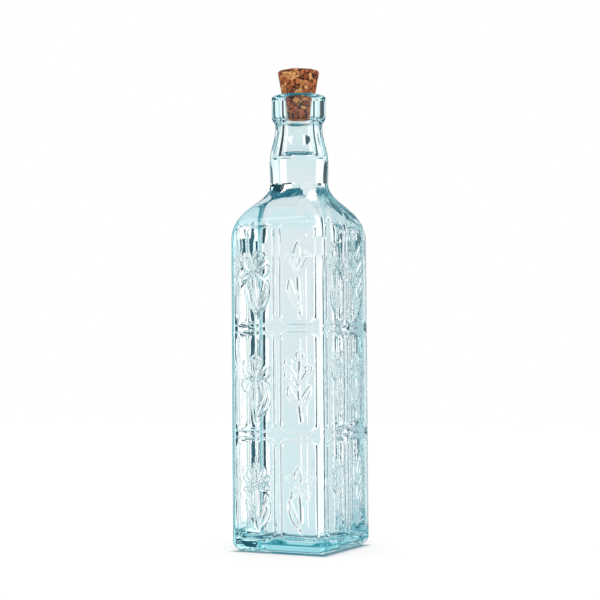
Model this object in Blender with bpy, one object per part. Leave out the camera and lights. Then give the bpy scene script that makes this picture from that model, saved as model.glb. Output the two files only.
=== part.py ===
# A square oil bottle of pale aqua glass, with pressed panels on its four faces, a round
# neck with a ring lip, and a tapered cork pushed into its mouth. The origin is under the
# middle of the base, +Z is up, and the front face looks along -Y. Lengths are in metres.

import math

import bmesh
import bpy
import numpy as np
from mathutils import Vector
from mathutils.geometry import interpolate_bezier

# Body of the bottle, outside
BODY_WIDTH = 0.069
BODY_HEIGHT = 0.2045  # up to where the shoulder starts to draw in
CORNER_RADIUS = 0.0045  # of the four upright edges
HEEL_RADIUS = 0.0065  # between the faces and the base
PUNT_RADIUS = 0.022  # the round push-up under the base
PUNT_DEPTH = 0.004

# Shoulder, where the square turns round
SHOULDER_HEIGHT = 0.0376
SHOULDER_LOWER_PULL_SHARE = 0.6  # length of the curve's handles, of its height
SHOULDER_UPPER_PULL_SHARE = 0.385
SHOULDER_ROUNDING_POWER = 0.69  # how early the upright edges open out

# Neck, outside
NECK_ROOT_RADIUS = 0.01935
NECK_BULGE_RADIUS = 0.0196
NECK_BULGE_RISE = 0.0133
NECK_TOP_RADIUS = 0.0157
NECK_TAPER_HEIGHT = 0.0244
NECK_BULGE_PULL_SHARE = 0.35
NECK_TAPER_PULL_SHARE = 0.38

# Ring lip and mouth
LIP_RADIUS = 0.01795
LIP_HEIGHT = 0.0206
LIP_UNDERSIDE_HEIGHT = 0.0074  # over which the neck swells out to the lip
LIP_UNDERSIDE_PULL_SHARE = 0.6
LIP_TOP_ROUNDING = 0.001
BORE_RADIUS = 0.009
BORE_DEPTH = 0.02  # straight bore with its rounded mouth, from the rim down
MOUTH_ROUNDING = 0.0035

# Inside of the glass
WALL = 0.00375
INNER_CORNER_RADIUS = 0.004
INNER_HEEL_RADIUS = 0.006
BASE_THICKNESS = 0.009  # from the bearing ring up to the inner floor
INNER_NECK_LOWER_PULL_SHARE = 0.18
INNER_NECK_UPPER_PULL_SHARE = 0.46

# Pressed panels, framed fields on each face, measured to the middles of their beads
FACES = 4
COLUMNS = 2
ROWS = 3
PANEL_SIDE_MARGIN = 0.0056  # from the side of the body to the outer beads
PANEL_FOOT_MARGIN = 0.0095  # from the base to the lowest beads
PANEL_SHOULDER_OVERLAP = 0.008  # of the highest beads onto the shoulder
COLUMN_GAP = 0.0048
ROW_GAP = 0.0048
PANEL_CORNER_RADIUS = 0.0055
PANEL_SHIFT = 0.001  # of each face's panels, away from the two upright mould seams
BEAD_HEIGHT = 0.0006
BEAD_TOP_WIDTH = 0.0009
BEAD_FOOT_WIDTH = 0.002  # measured where its foot is sunk in the wall
BEAD_SINK = 0.0005

# Cork
CORK_TOP_RADIUS = 0.01375
CORK_STAND = 0.017  # above the rim
CORK_DEPTH = 0.013  # below the rim
CORK_TIP_RADIUS = 0.0079
CORK_EDGE_CHAMFER = 0.0008
CORK_CLEARANCE = 0.0003  # between cork and glass

# Smoothness of the round forms
CORNER_STEPS = 8  # per quarter turn
PUNT_STEPS = 5
HEEL_STEPS = 5
SHOULDER_STEPS = 11
NECK_BULGE_STEPS = 4
NECK_TAPER_STEPS = 7
LIP_UNDERSIDE_STEPS = 6
LIP_TOP_STEPS = 3
MOUTH_STEPS = 5
INNER_NECK_STEPS = 9
BEAD_CORNER_STEPS = 4
SHARP_ANGLE = math.radians(35)

# Heights and widths that follow from the above
half_body = BODY_WIDTH / 2
half_inside = half_body - WALL
neck_root_height = BODY_HEIGHT + SHOULDER_HEIGHT
bulge_height = neck_root_height + NECK_BULGE_RISE
lip_bottom_height = bulge_height + NECK_TAPER_HEIGHT
rim_height = lip_bottom_height + LIP_HEIGHT
bore_foot_height = rim_height - BORE_DEPTH
inner_neck_root_radius = NECK_ROOT_RADIUS - WALL
mouth_centre_radius = BORE_RADIUS + MOUTH_ROUNDING
mouth_centre_height = rim_height - MOUTH_ROUNDING
columns_width = BODY_WIDTH - 2 * PANEL_SIDE_MARGIN
panel_width = (columns_width - (COLUMNS - 1) * COLUMN_GAP) / COLUMNS
rows_height = BODY_HEIGHT + PANEL_SHOULDER_OVERLAP - PANEL_FOOT_MARGIN
panel_height = (rows_height - (ROWS - 1) * ROW_GAP) / ROWS


def clear_scene():
    for obj in list(bpy.data.objects):
        bpy.data.objects.remove(obj, do_unlink=True)


def make_material(name, colour, roughness, transmission=0.0, ior=1.5):
    material = bpy.data.materials.new(name)
    material.use_nodes = True
    shader = material.node_tree.nodes["Principled BSDF"]
    shader.inputs["Base Color"].default_value = (*colour, 1.0)
    shader.inputs["Metallic"].default_value = 0.0
    shader.inputs["Roughness"].default_value = roughness
    shader.inputs["Transmission Weight"].default_value = transmission
    shader.inputs["IOR"].default_value = ior
    return material


def add_object(name, bm, material):
    """A named object from a bmesh, shaded smooth except across its sharp edges."""
    mesh = bpy.data.meshes.new(name)
    bm.to_mesh(mesh)
    bm.free()
    mesh.materials.append(material)
    mesh.shade_smooth()
    mesh.set_sharp_from_angle(angle=SHARP_ANGLE)
    obj = bpy.data.objects.new(name, mesh)
    bpy.context.scene.collection.objects.link(obj)
    return obj


def upright_curve(start, end, lower_share, upper_share, steps):
    """Points of an S curve between two (radius, height) points, upright at both ends."""
    rise = end[1] - start[1]
    points = interpolate_bezier(
        Vector((*start, 0)),
        Vector((start[0], start[1] + rise * lower_share, 0)),
        Vector((end[0], end[1] - rise * upper_share, 0)),
        Vector((*end, 0)),
        steps + 1,
    )
    return [(point.x, point.y) for point in points]


def arc(centre, radius, first_angle, last_angle, steps):
    """Points of an arc about a (radius, height) centre, in degrees from outwards to up."""
    angles = [
        math.radians(first_angle + (last_angle - first_angle) * step / steps)
        for step in range(steps + 1)
    ]
    return [
        (centre[0] + radius * math.cos(angle), centre[1] + radius * math.sin(angle))
        for angle in angles
    ]


def shoulder_corner(half_width, widest, narrowest, corner):
    """Corner radius of the section at one half width, from square body to round neck."""
    share = (widest - half_width) / (widest - narrowest)
    share = min(max(share, 0), 1)
    return corner + (narrowest - corner) * share**SHOULDER_ROUNDING_POWER


def outer_shoulder():
    start = (half_body, BODY_HEIGHT)
    end = (NECK_ROOT_RADIUS, neck_root_height)
    return upright_curve(
        start,
        end,
        SHOULDER_LOWER_PULL_SHARE,
        SHOULDER_UPPER_PULL_SHARE,
        SHOULDER_STEPS,
    )


def round_sections(points):
    return [(radius, height, radius) for radius, height in points]


def outside_sections():
    """(half width, height, corner radius) from the middle of the base up to the neck."""
    sections = []
    for step in range(1, PUNT_STEPS + 1):
        share = step / PUNT_STEPS
        radius = PUNT_RADIUS * share
        sections.append((radius, PUNT_DEPTH * (1 - share**2), radius))
    heel_centre = (half_body - HEEL_RADIUS, HEEL_RADIUS)
    for half_width, height in arc(heel_centre, HEEL_RADIUS, -90, 0, HEEL_STEPS):
        sections.append((half_width, height, CORNER_RADIUS))
    for half_width, height in outer_shoulder():
        corner = shoulder_corner(
            half_width, half_body, NECK_ROOT_RADIUS, CORNER_RADIUS
        )
        sections.append((half_width, height, corner))
    return sections


def neck_sections():
    bulge = upright_curve(
        (NECK_ROOT_RADIUS, neck_root_height),
        (NECK_BULGE_RADIUS, bulge_height),
        NECK_BULGE_PULL_SHARE,
        NECK_BULGE_PULL_SHARE,
        NECK_BULGE_STEPS,
    )
    taper = upright_curve(
        (NECK_BULGE_RADIUS, bulge_height),
        (NECK_TOP_RADIUS, lip_bottom_height),
        NECK_TAPER_PULL_SHARE,
        NECK_TAPER_PULL_SHARE,
        NECK_TAPER_STEPS,
    )
    return round_sections(bulge[1:] + taper[1:])


def lip_sections():
    """The ring lip, out along its underside, up its side and in to the rounded mouth."""
    underside = upright_curve(
        (NECK_TOP_RADIUS, lip_bottom_height),
        (LIP_RADIUS, lip_bottom_height + LIP_UNDERSIDE_HEIGHT),
        LIP_UNDERSIDE_PULL_SHARE,
        LIP_UNDERSIDE_PULL_SHARE,
        LIP_UNDERSIDE_STEPS,
    )
    top = arc(
        (LIP_RADIUS - LIP_TOP_ROUNDING, rim_height - LIP_TOP_ROUNDING),
        LIP_TOP_ROUNDING,
        0,
        90,
        LIP_TOP_STEPS,
    )
    mouth = arc(
        (mouth_centre_radius, mouth_centre_height), MOUTH_ROUNDING, 90, 180, MOUTH_STEPS
    )
    return round_sections(underside[1:] + top + mouth)


def inside_sections():
    """The hollow, from the foot of the bore down to the inner floor."""
    neck = upright_curve(
        (inner_neck_root_radius, neck_root_height),
        (BORE_RADIUS, bore_foot_height),
        INNER_NECK_LOWER_PULL_SHARE,
        INNER_NECK_UPPER_PULL_SHARE,
        INNER_NECK_STEPS,
    )
    sections = round_sections(reversed(neck))
    for outer, height in reversed(outer_shoulder()[:-1]):
        half_width = outer - WALL
        corner = shoulder_corner(
            half_width, half_inside, inner_neck_root_radius, INNER_CORNER_RADIUS
        )
        sections.append((half_width, height, corner))
    heel_centre = (half_inside - INNER_HEEL_RADIUS, BASE_THICKNESS + INNER_HEEL_RADIUS)
    for half_width, height in arc(heel_centre, INNER_HEEL_RADIUS, 0, -90, HEEL_STEPS):
        sections.append((half_width, height, INNER_CORNER_RADIUS))
    return sections


def add_ring(bm, half_width, height, corner):
    """Vertices round one level, four rounded corners. A round level has no flats, so
    there the last vertex of each corner is also the first of the next."""
    core = half_width - corner
    ring = []
    for quarter in range(4):
        for step in range(CORNER_STEPS + 1):
            if corner == half_width and step == CORNER_STEPS:
                ring.append(None)
                continue
            angle = math.pi / 2 * (quarter + step / CORNER_STEPS)
            side_x, side_y = [(1, 1), (-1, 1), (-1, -1), (1, -1)][quarter]
            x = side_x * core + corner * math.cos(angle)
            y = side_y * core + corner * math.sin(angle)
            ring.append(bm.verts.new((x, y, height)))
    for index, vertex in enumerate(ring):
        if vertex is None:
            ring[index] = ring[(index + 1) % len(ring)]
    return ring


def loft(bm, sections):
    """Skins the levels in order and closes the first and the last with a flat face."""
    rings = [add_ring(bm, *section) for section in sections]
    for lower, upper in zip(rings, rings[1:]):
        for index in range(len(lower)):
            after = (index + 1) % len(lower)
            corners = [lower[index], lower[after], upper[after], upper[index]]
            corners = list(dict.fromkeys(corners))
            if len(corners) > 2:
                bm.faces.new(corners)
    bm.faces.new(list(dict.fromkeys(reversed(rings[0]))))
    bm.faces.new(list(dict.fromkeys(rings[-1])))


def face_depth(height):
    """How far out a face of the bottle lies at one height."""
    shoulder = outer_shoulder()
    return np.interp(
        height, [point[1] for point in shoulder], [point[0] for point in shoulder]
    )


def bead_path():
    """(across, up, outward normal) round one panel, from the middle of the panel."""
    reach_x = panel_width / 2 - PANEL_CORNER_RADIUS
    reach_z = panel_height / 2 - PANEL_CORNER_RADIUS
    path = []
    for quarter in range(4):
        side_x, side_z = [(1, 1), (-1, 1), (-1, -1), (1, -1)][quarter]
        for step in range(BEAD_CORNER_STEPS + 1):
            angle = math.pi / 2 * (quarter + step / BEAD_CORNER_STEPS)
            normal = (math.cos(angle), math.sin(angle))
            across = side_x * reach_x + PANEL_CORNER_RADIUS * normal[0]
            up = side_z * reach_z + PANEL_CORNER_RADIUS * normal[1]
            path.append((across, up, normal))
    return path


def add_bead(bm, face, column, row):
    """One panel's raised frame, which follows its face and is sunk a little into it."""
    turn = math.tau * face / FACES
    shift = PANEL_SHIFT * (-1) ** face
    middle_x = (column - (COLUMNS - 1) / 2) * (panel_width + COLUMN_GAP) + shift
    middle_z = PANEL_FOOT_MARGIN + panel_height / 2 + row * (panel_height + ROW_GAP)
    profile = [
        (-BEAD_FOOT_WIDTH / 2, -BEAD_SINK),
        (-BEAD_TOP_WIDTH / 2, BEAD_HEIGHT),
        (BEAD_TOP_WIDTH / 2, BEAD_HEIGHT),
        (BEAD_FOOT_WIDTH / 2, -BEAD_SINK),
    ]
    rings = []
    for across, up, normal in bead_path():
        depth = face_depth(middle_z + up)
        ring = []
        for sideways, proud in profile:
            x = middle_x + across + normal[0] * sideways
            z = middle_z + up + normal[1] * sideways
            out = depth + proud
            ring.append(
                bm.verts.new(
                    (
                        x * math.cos(turn) + out * math.sin(turn),
                        x * math.sin(turn) - out * math.cos(turn),
                        z,
                    )
                )
            )
        rings.append(ring)
    for index, ring in enumerate(rings):
        after = rings[(index + 1) % len(rings)]
        for corner in range(len(profile)):
            following = (corner + 1) % len(profile)
            bm.faces.new(
                [ring[corner], ring[following], after[following], after[corner]]
            )


def make_panel_beads(material):
    bm = bmesh.new()
    for face in range(FACES):
        for column in range(COLUMNS):
            for row in range(ROWS):
                add_bead(bm, face, column, row)
    bmesh.ops.recalc_face_normals(bm, faces=bm.faces)
    beads = add_object("panel_beads", bm, material)
    beads.hide_render = True
    beads.display_type = "WIRE"
    return beads


def make_bottle():
    glass = make_material("aqua_glass", (0.72, 0.86, 0.88), 0.03, 0.95, 1.52)
    bm = bmesh.new()
    loft(bm, outside_sections() + neck_sections() + lip_sections() + inside_sections())
    bmesh.ops.recalc_face_normals(bm, faces=bm.faces)
    bottle = add_object("glass_bottle", bm, glass)
    join = bottle.modifiers.new("pressed_panels", "BOOLEAN")
    join.operation = "UNION"
    join.object = make_panel_beads(glass)
    return bottle


def cork_profile():
    """(radius, height) from the tip up. Inside the mouth the cork is squeezed to the
    shape of the glass, a clearance away from it."""
    squeeze_radius = MOUTH_ROUNDING + CORK_CLEARANCE
    rim_angle = 180 - math.degrees(math.asin(MOUTH_ROUNDING / squeeze_radius))
    tip_height = rim_height - CORK_DEPTH
    top_height = rim_height + CORK_STAND
    profile = [
        (CORK_TIP_RADIUS - CORK_EDGE_CHAMFER, tip_height),
        (CORK_TIP_RADIUS, tip_height + CORK_EDGE_CHAMFER),
    ]
    profile += arc(
        (mouth_centre_radius, mouth_centre_height),
        squeeze_radius,
        180,
        rim_angle,
        MOUTH_STEPS,
    )
    profile += [
        (CORK_TOP_RADIUS, top_height - CORK_EDGE_CHAMFER),
        (CORK_TOP_RADIUS - CORK_EDGE_CHAMFER, top_height),
    ]
    return profile


def make_cork():
    cork = make_material("pressed_cork", (0.45, 0.2, 0.11), 0.85)
    bm = bmesh.new()
    loft(bm, round_sections(cork_profile()))
    bmesh.ops.recalc_face_normals(bm, faces=bm.faces)
    return add_object("cork", bm, cork)


clear_scene()
make_bottle()
make_cork()
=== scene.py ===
# Looks of a corked oil bottle: pale aqua pressed glass with framed flower panels,
# clear oil up into the neck, and a cork of pressed grains.
# Lengths in the settings are millimetres unless a note says otherwise.

import math

import bmesh
import bpy
import numpy as np
from mathutils import Matrix, Vector, noise
from mathutils.geometry import interpolate_bezier


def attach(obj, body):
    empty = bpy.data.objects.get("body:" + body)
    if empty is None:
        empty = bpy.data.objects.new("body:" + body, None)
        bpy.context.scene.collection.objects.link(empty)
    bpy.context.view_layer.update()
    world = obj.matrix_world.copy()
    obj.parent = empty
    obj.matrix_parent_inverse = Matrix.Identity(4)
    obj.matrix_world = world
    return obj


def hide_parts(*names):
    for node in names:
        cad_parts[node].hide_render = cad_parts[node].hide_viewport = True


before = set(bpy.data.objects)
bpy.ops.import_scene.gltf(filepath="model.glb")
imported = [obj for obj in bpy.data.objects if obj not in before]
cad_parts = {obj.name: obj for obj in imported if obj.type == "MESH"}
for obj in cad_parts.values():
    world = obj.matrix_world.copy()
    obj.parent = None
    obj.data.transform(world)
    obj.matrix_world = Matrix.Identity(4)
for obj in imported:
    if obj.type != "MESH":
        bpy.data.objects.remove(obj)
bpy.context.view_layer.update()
print("frame loaded:", sorted(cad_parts))

mm = 0.001  # in metres


# small helpers
def hexToLinear(text):
    parts = [int(text[i : i + 2], 16) / 255 for i in (1, 3, 5)]
    return [p / 12.92 if p <= 0.04045 else ((p + 0.055) / 1.055) ** 2.4 for p in parts]


def addNode(tree, kind, settings=None, links=None):
    # a socket goes by its name, or by its number where several share a name, and a node that
    # is linked stands for its first output
    node = tree.nodes.new("ShaderNode" + kind)
    for name, value in (settings or {}).items():
        if isinstance(name, str) and hasattr(node, name):
            setattr(node, name, value)
        else:
            node.inputs[name].default_value = value
    for name, source in (links or {}).items():
        output = source.outputs[0] if hasattr(source, "outputs") else source
        tree.links.new(output, node.inputs[name])
    return node


def newMaterial(name):
    material = bpy.data.materials.new(name)
    material.use_nodes = True
    material.node_tree.nodes.clear()
    return material


def sCurve(start, end, lowPull, highPull, steps):
    rise = end[1] - start[1]
    points = interpolate_bezier(
        Vector((*start, 0)),
        Vector((start[0], start[1] + rise * lowPull, 0)),
        Vector((end[0], end[1] - rise * highPull, 0)),
        Vector((*end, 0)),
        steps + 1,
    )
    return [(p.x, p.y) for p in points]


def arc(centre, radius, first, last, steps):
    turns = [math.radians(first + (last - first) * i / steps) for i in range(steps + 1)]
    return [(centre[0] + radius * math.cos(t), centre[1] + radius * math.sin(t)) for t in turns]


def stepsBetween(marks, step):
    stops = []
    for low, high in zip(marks, marks[1:]):
        parts = max(1, round((high - low) / step))
        stops += [low + (high - low) * i / parts for i in range(parts)]
    return stops + [marks[-1]]


# Shape of the glass, with the same measures as its solid.
glassShape = {
    "bodyWidth": 69.0,
    "bodyHeight": 204.5,
    "corner": 4.5,
    "cornerTurns": (5, 11, 18, 27, 36, 45, 54, 63, 72, 79, 85),  # degrees, lines of its mesh
    "heel": 6.5,
    "punt": (22.0, 4.0),  # radius and depth of the push-up
    "shoulder": (37.6, 0.6, 0.385, 0.69),  # height, two pulls, rounding power
    "neckRoot": 19.35,
    "bulge": (19.6, 13.3, 0.35),  # radius, height above the root, pull
    "neckTop": (15.7, 24.4, 0.38),  # radius, height above the bulge, pull
    "lip": (17.95, 20.6, 7.4, 0.6, 1.0),  # radius, height, underside, pull, edge
    "bore": (9.0, 20.0, 3.5),  # radius, depth, mouth rounding
    "boreLines": (9.0, 14.0),  # below the rim
    "wall": 3.75,
    "innerCorner": 4.0,
    "innerHeel": 6.0,
    "innerPulls": (0.18, 0.46),  # of the neck's inside
    "base": 9.0,
    "gridStep": 1.5,
    "shoulderStep": 1.25,
    "wallStep": 9.0,
    "waveOutside": 0.05,  # slow unevenness of pressed glass
    "waveInside": 0.12,
    "waveLengths": (26, 11),
    "shortWaveShare": 0.45,
    "waveFades": (1, 8, 12),  # starts above the foot, over a height, and ends over one at the lip
    "sink": 0.6,  # how far the middle of each face drew in as the glass cooled
    "sinkEnds": (8, 214, 16),  # lowest, highest, and the height over which it fades
}

panelShape = {
    "sideMargin": 5.6,
    "footMargin": 9.5,
    "shoulderOverlap": 8.0,
    "columnGap": 4.8,
    "rowGap": 4.8,
    "corner": 5.5,
    "shift": 1.0,
    "beadHeight": 0.6,
    "beadReach": 0.95,
    "beadLines": (-1.0, -0.6, -0.2, 0.2, 0.6, 1.0),  # lines of the mesh across a bead
    "room": 2.0,  # around a panel, still worked out with it
    "topRoom": 2.2,  # fine rows go on this far above the top frames
    "rimHeight": 0.6,  # a stem, and the outline of a petal or leaf
    "rimReach": 0.68,
    "fillHeight": 0.2,  # inside that outline
    "fillReach": 0.9,
    "vein": (0.34, 0.4, 0.6),  # of a leaf: height, reach, and how far in it is whole
    "leafPower": 0.85,  # under 1 the widest place is lower, above 1 it is higher
    "petalPower": 1.6,
    "petalFoot": 0.02,
    "spineSteps": 14,
    "groundInset": 0.9,  # the stippled ground starts this far inside a frame
    "groundGap": 0.2,  # and this far from a drawn line
    "groundFade": 0.8,
    "fineReach": 1.05,  # faces this near a drawn line are made finer
    # Shares of the full height on the front, right, back and left faces. The back two are
    # shallow in this script only: seen through the oil they would cover the front's drawings.
    "relief": (1.0, 1.0, 0.15, 0.15),
    "beads": (1.0, 1.0, 0.35, 0.35),
    "stipple": (0.7, 1.4, 0.05, 0.05),
}

# Which points of the mesh the relief, the waves and the oil reach.
pressing = {
    "drawnDepth": 2.5,  # faces of the mesh no deeper than this in the body may carry a drawing
    "drawnFoot": 8.0,
    "skinDepth": 2.0,  # points deeper than this belong to the inside
    "heights": (3.0, 216.0),
    "neckSlack": 0.05,
    "wetAbove": 0.6,  # over the oil's level
}

bodyHalf = glassShape["bodyWidth"] / 2
rootHeight = glassShape["bodyHeight"] + glassShape["shoulder"][0]
bulgeHeight = rootHeight + glassShape["bulge"][1]
lipFoot = bulgeHeight + glassShape["neckTop"][1]
rimHeight = lipFoot + glassShape["lip"][1]
boreFoot = rimHeight - glassShape["bore"][1]
innerRoot = glassShape["neckRoot"] - glassShape["wall"]
panelWidth = (glassShape["bodyWidth"] - 2 * panelShape["sideMargin"] - panelShape["columnGap"]) / 2
panelHeight = (
    glassShape["bodyHeight"]
    + panelShape["shoulderOverlap"]
    - panelShape["footMargin"]
    - 2 * panelShape["rowGap"]
) / 3
panelMiddles = [
    (
        (column - 0.5) * (panelWidth + panelShape["columnGap"]),
        panelShape["footMargin"] + panelHeight / 2 + row * (panelHeight + panelShape["rowGap"]),
    )
    for row in range(3)
    for column in range(2)
]


def outerShoulder(steps):
    _, low, high, _ = glassShape["shoulder"]
    start = (bodyHalf, glassShape["bodyHeight"])
    return sCurve(start, (glassShape["neckRoot"], rootHeight), low, high, steps)


def cornerAt(half, widest, narrowest, corner):
    share = min(max((widest - half) / (widest - narrowest), 0), 1)
    return corner + (narrowest - corner) * share ** glassShape["shoulder"][3]


# sprigs pressed into the panels: kind, spine (start, pull, tip), half width
sprigs = {
    "bells": [
        ("stem", (1, -22), (-3, -8), (-1, 3), 0.3),
        ("petal", (-1, 2), (-8, 5), (-5, 12), 2.6),
        ("petal", (0, 3), (0, 10), (5, 12), 2.3),
        ("petal", (1, 1), (6, -1), (8, 6), 2.6),
        ("leaf", (-2, 1), (-6, 1), (-9, -4), 1.5),
        ("leaf", (1, -24), (-6, -14), (-4, -3), 1.9),
        ("leaf", (1, -24), (8, -17), (8, -5), 2.1),
    ],
    "bud": [
        ("stem", (2, -27), (0, -12), (0, 0), 0.35),
        ("leaf", (0, -1), (-2.5, 9), (0, 20), 2.6),
        ("leaf", (-0.5, -1), (-3, 14), (-8.5, 11), 1.7),
        ("leaf", (0.5, -1), (4, 15), (9, 10), 1.9),
        ("leaf", (1.5, -24), (-7, -12), (-6, -4), 1.9),
    ],
    "iris": [
        ("stem", (0, -25), (-2, -12), (-1, 0), 0.35),
        ("petal", (-1, 2), (-6, 9), (1, 15), 3.4),
        ("leaf", (-2, 3), (-9, 5), (-8, 13), 1.6),
        ("petal", (1, 2), (6, 2), (9, 9), 2.1),
        ("petal", (-1, 1), (-8, 3), (-8, -6), 2.2),
        ("petal", (1, 0), (5, -1), (5, -8), 1.9),
        ("leaf", (0, -23), (9, -14), (8, -2), 2.4),
    ],
    "spray": [
        ("stem", (2, -26), (0, -14), (0, 0), 0.35),
        ("stem", (0, -3), (-3, 5), (-7, 9.5), 0.25),
        ("stem", (0, 0), (1, 8), (1, 13.5), 0.25),
        ("stem", (0, -3), (3, 3), (6, 5.5), 0.25),
        ("stem", (0, -6), (-4, -2), (-7, 1.5), 0.25),
        ("petal", (-7, 9), (-8, 11), (-7.4, 14.5), 2.3),
        ("petal", (1, 13), (0.5, 16), (1.5, 19), 2.4),
        ("petal", (6, 5), (7.6, 7), (7.5, 10.5), 2.3),
        ("petal", (-7, 1), (-8.4, 3), (-8, 6), 1.9),
        ("leaf", (0, -15), (-8, -9), (-7, -3), 1.8),
        ("leaf", (0, -15), (7, -9), (8, -3), 1.8),
    ],
    "daisy": [
        ("stem", (-1, 1), (-2, -12), (1, -24), 0.35),
        ("petal", (-2, 2), (-6, 6), (-9, 7), 1.3),
        ("petal", (-2, 2), (-4, 8), (-6, 12), 1.4),
        ("petal", (-1, 3), (-1, 9), (-1, 13), 1.5),
        ("petal", (0, 2), (3, 8), (5, 12), 1.4),
        ("petal", (0, 2), (5, 6), (8, 7), 1.3),
        ("petal", (0, 1), (4, 0), (8, 1), 1.3),
        ("petal", (-2, 1), (-5, 0), (-9, -1), 1.3),
        ("leaf", (1, -24), (8, -17), (7, -5), 2.0),
        ("leaf", (0, -19), (-5, -14), (-7, -8), 1.4),
    ],
    "lily": [
        ("stem", (0, 0), (2, -12), (1, -26), 0.35),
        ("leaf", (0, 2), (-2, 8), (0, 15), 2.5),
        ("petal", (0, 2), (-5, 8), (-9, 6), 1.9),
        ("petal", (0, 2), (5, 9), (9, 6), 2.1),
        ("leaf", (0, 1), (-4, -1), (-6, -6), 1.3),
        ("leaf", (0, 1), (4, 0), (6, -5), 1.3),
        ("leaf", (1, -25), (-6, -18), (-7, -7), 1.9),
    ],
    "orchid": [
        ("petal", (0, 8), (-1, 12), (0, 18), 3.2),
        ("petal", (-1, 8), (-7, 10), (-7, 3), 1.9),
        ("petal", (1, 8), (7, 9), (7, 3), 2.0),
        ("petal", (0, 7), (1, 3), (0, -2), 2.8),
        ("stem", (0, -2), (2, -12), (0, -24), 0.35),
        ("leaf", (0, -24), (-7, -16), (-6, -7), 1.8),
        ("leaf", (0, -22), (5, -17), (6, -10), 1.5),
    ],
    "twig": [
        ("stem", (2, -24), (2, 0), (-2, 18), 0.35),
        ("leaf", (-2, 17), (-4, 21), (-3, 25), 1.5),
        ("leaf", (0, 10), (5, 13), (6, 19), 1.6),
        ("leaf", (0, 6), (-6, 8), (-8, 14), 1.7),
        ("leaf", (1, 0), (7, 3), (8, 9), 1.8),
        ("leaf", (1, -5), (-5, -4), (-8, 2), 1.8),
        ("leaf", (2, -12), (7, -9), (8, -2), 1.8),
    ],
    "tulip": [
        ("stem", (0, 0), (1, -12), (0, -25), 0.35),
        ("petal", (0, 1), (-6, 5), (-4, 14), 2.2),
        ("petal", (0, 1), (6, 5), (5, 14), 2.2),
        ("leaf", (0, 1), (-1, 9), (0, 18), 2.4),
        ("leaf", (0, -24), (6, -16), (7, -3), 1.9),
    ],
    "aster": [
        *[
            ("petal", *[(r * math.cos(a), 8 + r * math.sin(a)) for r in (2, 4, 8)], 1.0)
            for a in [math.tau * i / 11 + 0.2 for i in range(11)]
        ],
        ("petal", (0, 7), (0, 8), (0, 9.4), 1.2),
        ("stem", (0, 0), (1, -12), (0, -25), 0.35),
        ("leaf", (0, -20), (-6, -14), (-7, -6), 1.6),
    ],
    "spike": [
        ("stem", (0, -25), (1, -8), (0, 12), 0.35),
        *[
            ("petal", (0, h), (s * 2.5, h + 1), (s * 5.5, h + 4), 1.4)
            for h, s in [(-1, 1), (-1, -1), (4, 1), (4, -1), (9, 1), (9, -1)]
        ],
        ("petal", (0, 12), (0, 15), (0, 18), 1.5),
        ("leaf", (0, -25), (6, -17), (7, -7), 1.6),
    ],
    "slender": [
        ("stem", (-1, -25), (-2, -6), (1, 4), 0.45),
        ("leaf", (1, 3), (1, 10), (4, 18), 1.8),
        ("leaf", (0, 0), (-4, 5), (-5, 13), 1.6),
        ("leaf", (0, -4), (5, -1), (6, 5), 1.4),
        ("leaf", (-1, -14), (4, -10), (6, -2), 1.5),
    ],
}
sprigsOnFace = [
    ["daisy", "lily", "iris", "spray", "bells", "bud"],
    ["spike", "slender", "tulip", "aster", "orchid", "twig"],
]


def sprigHeight(strokes, x, y):
    shape = panelShape
    height = np.zeros_like(x)
    near = np.full_like(x, np.inf)  # distance to the nearest line of the drawing
    for kind, start, pull, tip, halfWidth in strokes:
        t = np.linspace(0, 1, shape["spineSteps"] + 1)[:, None]
        start, pull, tip = np.array(start), np.array(pull), np.array(tip)
        spine = (1 - t) ** 2 * start + 2 * t * (1 - t) * pull + t**2 * tip
        best = np.full_like(x, np.inf)
        along = np.zeros_like(x)
        for i, (a, b) in enumerate(zip(spine, spine[1:])):
            step = b - a
            share = np.clip(((x - a[0]) * step[0] + (y - a[1]) * step[1]) / (step @ step), 0, 1)
            far = np.hypot(x - a[0] - share * step[0], y - a[1] - share * step[1])
            closer = far < best
            best = np.where(closer, far, best)
            along = np.where(closer, (i + share) / shape["spineSteps"], along)
        if kind == "stem":
            part = shape["rimHeight"] * np.exp(-((best / (halfWidth + shape["rimReach"])) ** 2))
            near = np.minimum(near, best)
        else:
            if kind == "leaf":
                half = halfWidth * np.sin(np.pi * np.clip(along, 0, 1) ** shape["leafPower"])
            else:
                swell = np.clip(along, shape["petalFoot"], 1) ** shape["petalPower"]
                half = halfWidth * np.sqrt(np.clip(np.sin(np.pi * swell), 0, 1))
            inside = half - best
            part = shape["rimHeight"] * np.exp(-((inside / shape["rimReach"]) ** 2))
            fill = np.clip(inside / shape["fillReach"], 0, 1)
            part = np.maximum(part, shape["fillHeight"] * fill * fill * (3 - 2 * fill))
            if kind == "leaf":
                veinHeight, veinReach, veinStart = shape["vein"]
                vein = veinHeight * np.exp(-((best / veinReach) ** 2))
                part = np.maximum(part, vein * np.clip(inside / veinStart, 0, 1))
            near = np.minimum(near, np.abs(inside))
            near = np.where(inside > 0, np.minimum(near, 1.0), near)
        height = np.maximum(height, part)
    return height, near


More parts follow.
